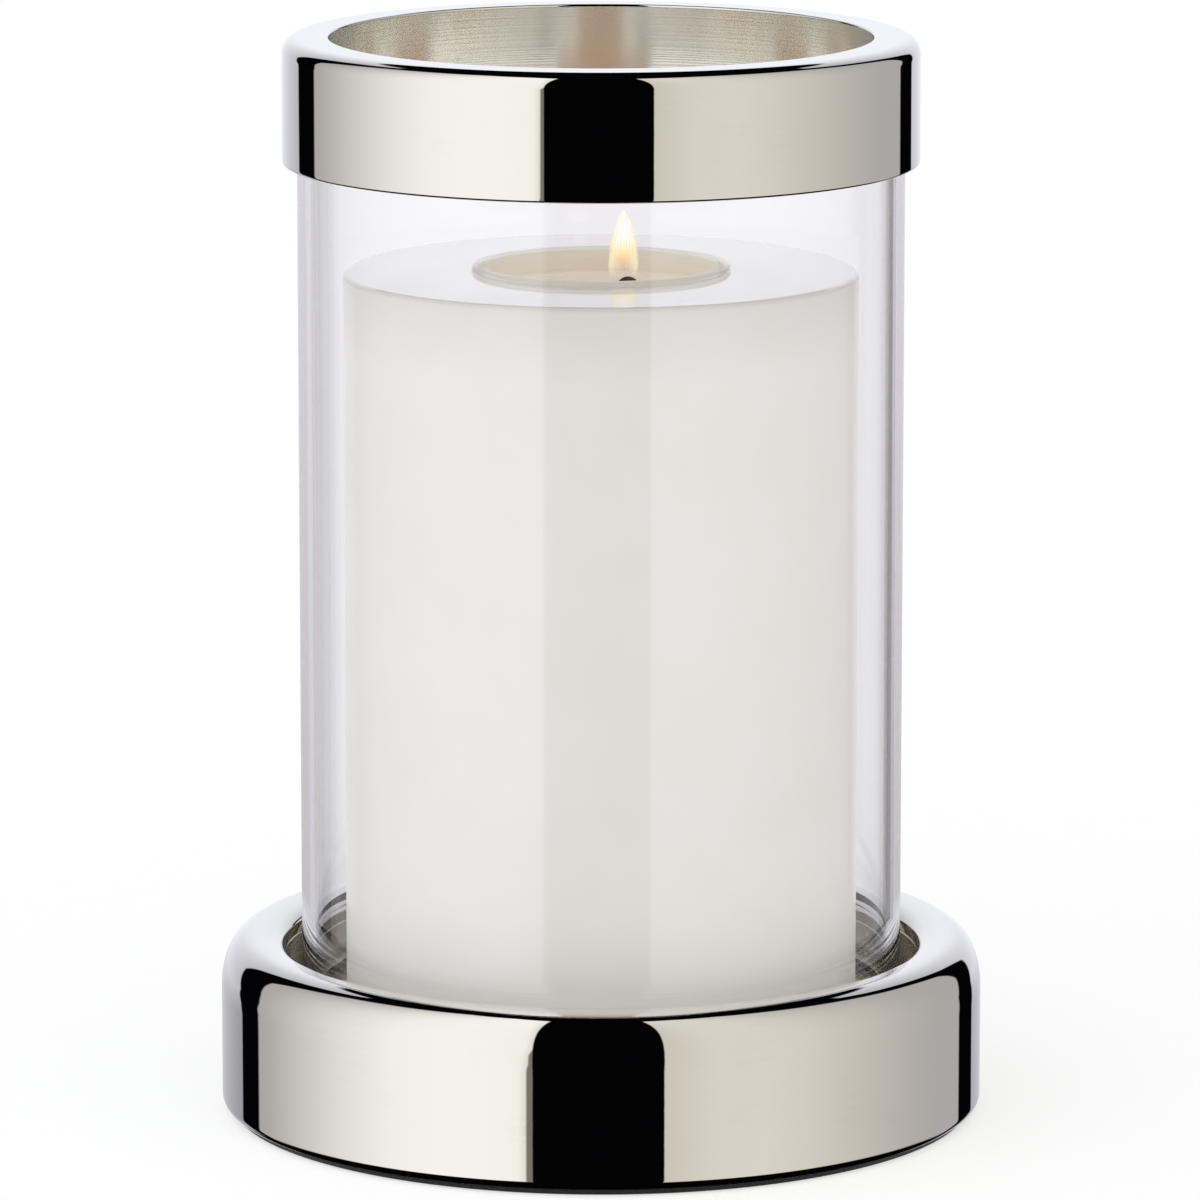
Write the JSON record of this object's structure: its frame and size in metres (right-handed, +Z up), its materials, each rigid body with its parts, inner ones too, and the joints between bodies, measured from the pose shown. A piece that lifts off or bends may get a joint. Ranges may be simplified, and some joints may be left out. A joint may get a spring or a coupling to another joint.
{
  "type": "hurricane candle lantern",
  "caption": "Round hurricane candle lantern: polished metal base, clear glass cylinder under a metal top ring, and an ivory pillar candle with a clear refill cup and wick.",
  "frame": {"origin": "on the table, under the lantern's axis, at the middle of the felt's underside", "axes": "+Z up along the lantern's axis; +X towards the wick's curled tip; -Y is the side seen first"},
  "size_m": [0.14, 0.14, 0.1984],
  "materials": {
    "polished_nickel": "mirror-polished nickel plate, slightly warm",
    "brushed_nickel": "satin nickel, spun marks round the axis",
    "clear_silicone": "clear soft silicone",
    "cover_board": "plain fibreboard",
    "screw_steel": "plain zinc-plated steel",
    "black_felt": "short black felt",
    "clear_glass": "clear, fire-polished ends",
    "ivory_wax": "smooth semi-gloss wax",
    "clear_plastic": "clear moulded cup",
    "lamp_wax": "glossy warm wax",
    "burnt_wick": "charred cotton"
  },
  "bodies": {
    "base": {"base_shell": "polished_nickel", "recess_tray": "brushed_nickel", "glass_pad": "clear_silicone", "base_cover": "cover_board", "cover_screws": "screw_steel", "foot_pad": "black_felt"},
    "glass": {"glass_cylinder": "clear_glass"},
    "ring": {"top_ring": "polished_nickel", "ring_gasket": "clear_silicone"},
    "candle": {"candle_body": "ivory_wax"},
    "refill": {"refill_cup": "clear_plastic", "cup_wax": "lamp_wax", "wick_tab": "screw_steel", "wick": "burnt_wick"}
  },
  "joints": [
    {"name": "glass_lift", "type": "slide", "parent": "base", "child": "glass", "axis": [0, 0, 1], "range_m": [0, 0.15]},
    {"name": "ring_lift", "type": "slide", "parent": "glass", "child": "ring", "axis": [0, 0, 1], "range_m": [0, 0.04]},
    {"name": "candle_lift", "type": "slide", "parent": "base", "child": "candle", "axis": [0, 0, 1], "range_m": [0, 0.2]},
    {"name": "cup_lift", "type": "slide", "parent": "candle", "child": "refill", "axis": [0, 0, 1], "range_m": [0, 0.06]}
  ]
}
